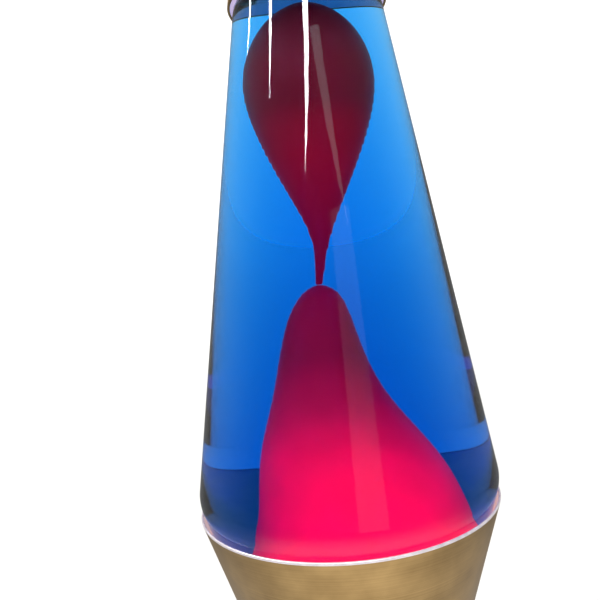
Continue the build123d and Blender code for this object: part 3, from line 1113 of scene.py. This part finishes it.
@dataclass
class Cap:
    """The loose tapered cap."""

    wall: float = 0.8
    slope: float = 0.152
    top_round: float = 2.0
    edge_round: float = 0.35
    around: int = 192

    def build(self) -> None:
        """One spun shell, open at its lip."""
        low, high = level("cap", Side.LOW), level("cap", Side.HIGH)
        lip = reach("cap")
        crown = lip - self.slope * (high - low)
        inner_crown = lip - self.wall - self.slope * (high - self.wall - low)
        outline = [
            Corner(0, high),
            Corner(crown, high, self.top_round, 8),
            Corner(lip, low, self.edge_round),
            Corner(lip - self.wall, low, self.edge_round),
            Corner(inner_crown, high - self.wall, self.top_round - self.wall, 6),
            Corner(0, high - self.wall),
        ]
        shape = spun(outline, steps=self.around)
        lip_top = (low + self.edge_round) * MM
        for face in shape.faces:
            middle = face.calc_center_median()
            inwards = face.normal.dot(Vector((middle.x, middle.y, 0))) < 0 or face.normal.z < -0.9
            if inwards and middle.z > lip_top:
                face.material_index = 1
        make_piece(shape, "spun_cap", Body.CAP, [GOLD, CAP_INSIDE], ("cap",))


@dataclass
class Base:
    """The waisted base with everything that is fixed in it."""

    wall: float = 0.7
    waist_radius: float = 26.0
    waist_hole_radius: float = 19.5
    bend_round: float = 2.0
    lip_depth: float = 0.75
    edge_round: float = 0.3
    around: int = 256

    def build_cup(self) -> None:
        """The upper cup, with a pale band at its rim that is a painted highlight."""
        low, high = level("base_cup", Side.LOW), level("base_cup", Side.HIGH)
        rim = reach("base_cup")
        outline = [
            Corner(self.waist_hole_radius, low),
            Corner(self.waist_radius, low, self.bend_round),
            Corner(rim, high, self.edge_round),
            Corner(rim - self.wall, high, self.edge_round),
            Corner(self.waist_radius - self.wall, low + self.wall, self.bend_round - self.wall),
            Corner(self.waist_hole_radius, low + self.wall),
        ]
        shape = spun(outline, closed=True, steps=self.around)
        cut = bmesh.ops.bisect_plane(
            shape,
            geom=list(shape.verts) + list(shape.edges) + list(shape.faces),
            plane_co=(0, 0, (high - self.lip_depth) * MM),
            plane_no=(0, 0, 1),
        )
        LOG.info("rim edge: %d cut items", len(cut["geom_cut"]))
        # Faces at the rim take the painted highlight, and the inside faces take the bare metal.
        for face in shape.faces:
            middle = face.calc_center_median()
            inwards = face.normal.dot(Vector((middle.x, middle.y, 0))) < 0
            lip_depth = self.edge_round if inwards else self.lip_depth
            if middle.z > (high - lip_depth) * MM:
                face.material_index = 1
            elif inwards or face.normal.z > 0.9:
                face.material_index = 2
        finishes = [GOLD, PAINTED_HIGHLIGHT_LIP, BARE_INSIDE]
        make_piece(shape, "spun_base_cup", Body.BASE, finishes, ("base_cup",))

    def build(self, frame: dict) -> None:
        """Builds the cup and dresses the pieces whose CAD shape stays.

        Args:
            frame: the loaded frame.
        """
        self.build_cup()
        for node, finish in (
            ("base_skirt", GOLD),
            ("waist_rivets", RIVET_METAL),
            ("cord_inlet_bushing", RUBBER),
            ("bottom_plate", BLACK_STEEL),
            ("plate_screws", ZINC_STEEL),
            ("foot_pads", RUBBER),
            ("holder_bracket", ZINC_STEEL),
            ("bracket_rivets", RIVET_METAL),
            ("holder_body", PHENOLIC),
            ("holder_screws", ZINC_STEEL),
            ("terminal_screws", BRASS),
            ("centre_contact", BRASS),
            ("holder_sleeve", BRASS),
        ):
            dress_node(frame, node, finish)


@dataclass
class Bulb:
    """The small screw bulb that warms the wax."""

    strand_radius: float = 0.07
    winding_radius: float = 0.28
    turns: int = 40
    turn_steps: int = 14
    strand_sides: int = 6

    def build_filament(self) -> None:
        """The filament as a real winding, within the rod that stands for it in the CAD."""
        low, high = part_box("filament")
        middle = (low + high) / 2
        span = high.x - low.x - 2 * self.strand_radius * MM
        shape = bmesh.new()
        place = Matrix.Translation((low.x + self.strand_radius * MM, 0, middle.z + self.winding_radius * MM))
        bmesh.ops.create_circle(
            shape,
            cap_ends=True,
            segments=self.strand_sides,
            radius=self.strand_radius * MM,
            matrix=place @ Matrix.Rotation(math.pi / 2, 4, "X"),
        )
        steps = self.turn_steps * self.turns
        bmesh.ops.spin(
            shape,
            geom=list(shape.faces),
            cent=(0, 0, middle.z),
            axis=(1, 0, 0),
            dvec=(span / steps, 0, 0),
            angle=2 * math.pi * self.turns,
            steps=steps,
            use_duplicate=False,
        )
        bmesh.ops.recalc_face_normals(shape, faces=list(shape.faces))
        make_piece(shape, "wound_filament", Body.BULB, [TUNGSTEN], ("filament",))

    def build(self, frame: dict) -> None:
        """Builds the filament and dresses the rest of the bulb.

        Args:
            frame: the loaded frame.
        """
        self.build_filament()
        for node, finish in (
            ("bulb_glass", BULB_GLASS),
            ("filament_stem", BULB_GLASS),
            ("bulb_sleeve", BRASS),
            ("bulb_insulator", BLACK_GLASS),
            ("bulb_tip_contact", SOLDER),
            ("lead_wires", PLATED_STEEL),
        ):
            dress_node(frame, node, finish)


# ---- studio
@dataclass(frozen=True)
class Tube:
    """A ceiling tube as the glass sees it: where it starts and ends, its width there, and its lean."""

    heading_deg: float
    start_deg: float
    end_deg: float = 62.0
    width_deg: float = 14.0
    lean_deg: float = 0.0
    strength: float = 80.0


@dataclass
class Studio:
    """The floor, the light and the camera."""

    floor_size: float = 6.0
    horizon_light: float = 1.3
    top_light: float = 2.1
    reflected_front: float = 0.02
    reflected_back: float = 0.22
    reflected_below: float = 1.4
    reflected_below_aside: float = 0.62
    sky_rise: tuple[float, float] = (0.25, 0.9)
    back_rise: tuple[float, float] = (-0.5, 1.0)
    below_rise: tuple[float, float] = (-0.35, -0.85)
    aside_rise: tuple[float, float] = (-0.5, 0.0)
    tube_distance: float = 2.5
    tube_centre: float = 0.26
    tube_rows: int = 12
    tubes: tuple[Tube, ...] = (
        Tube(18.5, 30.6, width_deg=16.0, lean_deg=-28.0),
        Tube(61.0, 35.7, width_deg=14.0),
        Tube(101.0, 34.4, width_deg=12.0),
        Tube(120.0, 39.4, width_deg=10.0),
        Tube(-22.0, 24.0, end_deg=46.0, width_deg=15.0, lean_deg=14.0, strength=3.0),
    )
    panel_size: tuple[float, float] = (0.5, 1.2)
    panel_power: float = 1.6
    panel_distance: float = 1.4
    panel_heading_deg: float = 14.0
    panel_height: float = 0.35
    camera_back: float = 0.182382
    camera_above_rim: float = 0.066858
    pitch_deg: float = 2.057
    yaw_deg: float = 0.378
    roll_deg: float = -5.05
    lens: float = 35.856
    shift: tuple[float, float] = (-0.0479, -0.0024)

    def build_floor(self) -> None:
        """A plain pale floor under the lamp."""
        shape = bmesh.new()
        bmesh.ops.create_grid(shape, x_segments=1, y_segments=1, size=self.floor_size / 2)
        mesh = bpy.data.meshes.new("studio_floor")
        shape.to_mesh(mesh)
        shape.free()
        mesh.materials.append(StudioFloor("matt_pale_board_with_painted_shade", "#c9c8c5", "#dbdad7").material())
        floor = bpy.data.objects.new("studio_floor", mesh)
        bpy.context.scene.collection.objects.link(floor)
        floor.visible_glossy = False

    def build_world(self) -> None:
        """Soft light from all round, which reflections see dimmer on the side that the front faces."""
        world = bpy.data.worlds.new("soft_studio")
        bpy.context.scene.world = world
        world.use_nodes = True
        tree = world.node_tree
        tree.nodes.clear()
        heading = add_node(tree, "ShaderNodeTexCoord").outputs["Generated"]
        parts = add_node(tree, "ShaderNodeSeparateXYZ", {0: heading}).outputs
        (sky_low, sky_high), (back_low, back_high) = self.sky_rise, self.back_rise
        plain = add_node(
            tree,
            "ShaderNodeMapRange",
            {0: parts["Z"], 1: sky_low, 2: sky_high, 3: self.horizon_light, 4: self.top_light},
            interpolation_type="SMOOTHSTEP",
        ).outputs[0]
        reflected = add_node(
            tree,
            "ShaderNodeMapRange",
            {0: parts["Y"], 1: back_low, 2: back_high, 3: self.reflected_front, 4: self.reflected_back},
            interpolation_type="SMOOTHSTEP",
        ).outputs[0]
        under = add_node(
            tree,
            "ShaderNodeMapRange",
            {0: parts["Z"], 1: self.below_rise[0], 2: self.below_rise[1], 3: 0.0, 4: 1.0},
            interpolation_type="SMOOTHSTEP",
        ).outputs[0]
        front, side = self.aside_rise
        aside = add_node(
            tree,
            "ShaderNodeMapRange",
            {0: parts["Y"], 1: front, 2: side, 3: self.reflected_below, 4: self.reflected_below_aside},
        ).outputs[0]
        reflected = add_node(
            tree, "ShaderNodeMath", {0: under, 1: aside, 2: reflected}, operation="MULTIPLY_ADD"
        ).outputs[0]
        path = add_node(tree, "ShaderNodeLightPath").outputs
        mirrored = add_node(
            tree,
            "ShaderNodeMath",
            {0: path["Is Glossy Ray"], 1: path["Is Transmission Ray"]},
            operation="SUBTRACT",
            use_clamp=True,
        ).outputs[0]
        strength = add_node(
            tree, "ShaderNodeMix", {0: mirrored, 2: plain, 3: reflected}, data_type="FLOAT"
        ).outputs[0]
        sky = add_node(tree, "ShaderNodeBackground", {"Color": linear("#ffffff"), "Strength": strength})
        add_node(tree, "ShaderNodeOutputWorld", {"Surface": sky.outputs[0]})

    def build_tubes(self) -> None:
        """The ceiling tubes, which show only as reflections: each is a strip that widens upwards."""
        for index, tube in enumerate(self.tubes):
            shape = bmesh.new()
            bmesh.ops.create_grid(shape, x_segments=1, y_segments=self.tube_rows, size=0.5)
            for vert in shape.verts:
                across, along = vert.co.x, vert.co.y + 0.5
                rise = math.radians(tube.start_deg + along * (tube.end_deg - tube.start_deg))
                aside = (tube.lean_deg + across * tube.width_deg) * along
                turn = math.radians(tube.heading_deg + aside)
                flat = math.cos(rise)
                vert.co = self.tube_distance * Vector(
                    (-math.sin(turn) * flat, -math.cos(turn) * flat, math.sin(rise))
                )
                vert.co.z += self.tube_centre
            mesh = bpy.data.meshes.new(f"ceiling_tube_{index}")
            shape.to_mesh(mesh)
            shape.free()
            mesh.materials.append(LitTube(f"lit_ceiling_tube_{index}", tube.strength).material())
            strip = bpy.data.objects.new(mesh.name, mesh)
            bpy.context.scene.collection.objects.link(strip)
            strip.visible_camera = False
            strip.visible_diffuse = False
            strip.visible_transmission = False
            strip.visible_volume_scatter = False
            strip.visible_shadow = False

    def build_panel(self) -> None:
        """A soft upright panel ahead and a little to the right, which gives the metal its broad highlight."""
        data = bpy.data.lights.new("soft_panel", "AREA")
        data.shape = "RECTANGLE"
        data.size, data.size_y = self.panel_size
        data.energy = self.panel_power
        panel = bpy.data.objects.new("soft_panel", data)
        bpy.context.scene.collection.objects.link(panel)
        turn = math.radians(self.panel_heading_deg)
        place = Vector((math.sin(turn), -math.cos(turn), 0)) * self.panel_distance
        place.z = self.panel_height
        aim = Vector((0, 0, self.panel_height)) - place
        panel.matrix_world = Matrix.Translation(place) @ aim.to_track_quat("-Z", "Y").to_matrix().to_4x4()

    def build_camera(self) -> None:
        """The camera, close in front of the lamp and rolled a little."""
        data = bpy.data.cameras.new("camera")
        data.lens = self.lens
        data.sensor_width = 36.0
        data.shift_x, data.shift_y = self.shift
        data.clip_start, data.clip_end = 0.01, 100.0
        camera = bpy.data.objects.new("camera", data)
        bpy.context.scene.collection.objects.link(camera)
        pitch, yaw = math.radians(self.pitch_deg), math.radians(self.yaw_deg)
        back = Vector((math.sin(yaw) * math.cos(pitch), -math.cos(yaw) * math.cos(pitch), math.sin(pitch)))
        height = level("base_cup", Side.HIGH) * MM + self.camera_above_rim
        place = Matrix.Translation((0, -self.camera_back, height))
        turn = (-back).to_track_quat("-Z", "Y").to_matrix().to_4x4()
        camera.matrix_world = place @ turn @ Matrix.Rotation(math.radians(self.roll_deg), 4, "Z")
        bpy.context.scene.camera = camera

    def build(self) -> None:
        """Builds the whole studio."""
        self.build_floor()
        self.build_world()
        self.build_tubes()
        self.build_panel()
        self.build_camera()
        bpy.context.scene.view_settings.view_transform = "Standard"


def main() -> None:
    """Loads the frame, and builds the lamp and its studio."""
    logging.basicConfig(level=logging.INFO, format="%(name)s: %(message)s")
    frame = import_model()
    bottle = Bottle()
    bottle.build(frame)
    Wax(bottle).build()
    Cap().build()
    Base().build(frame)
    Bulb().build(frame)
    Studio().build()
    bpy.context.view_layer.update()


if __name__ == "__main__":
    main()
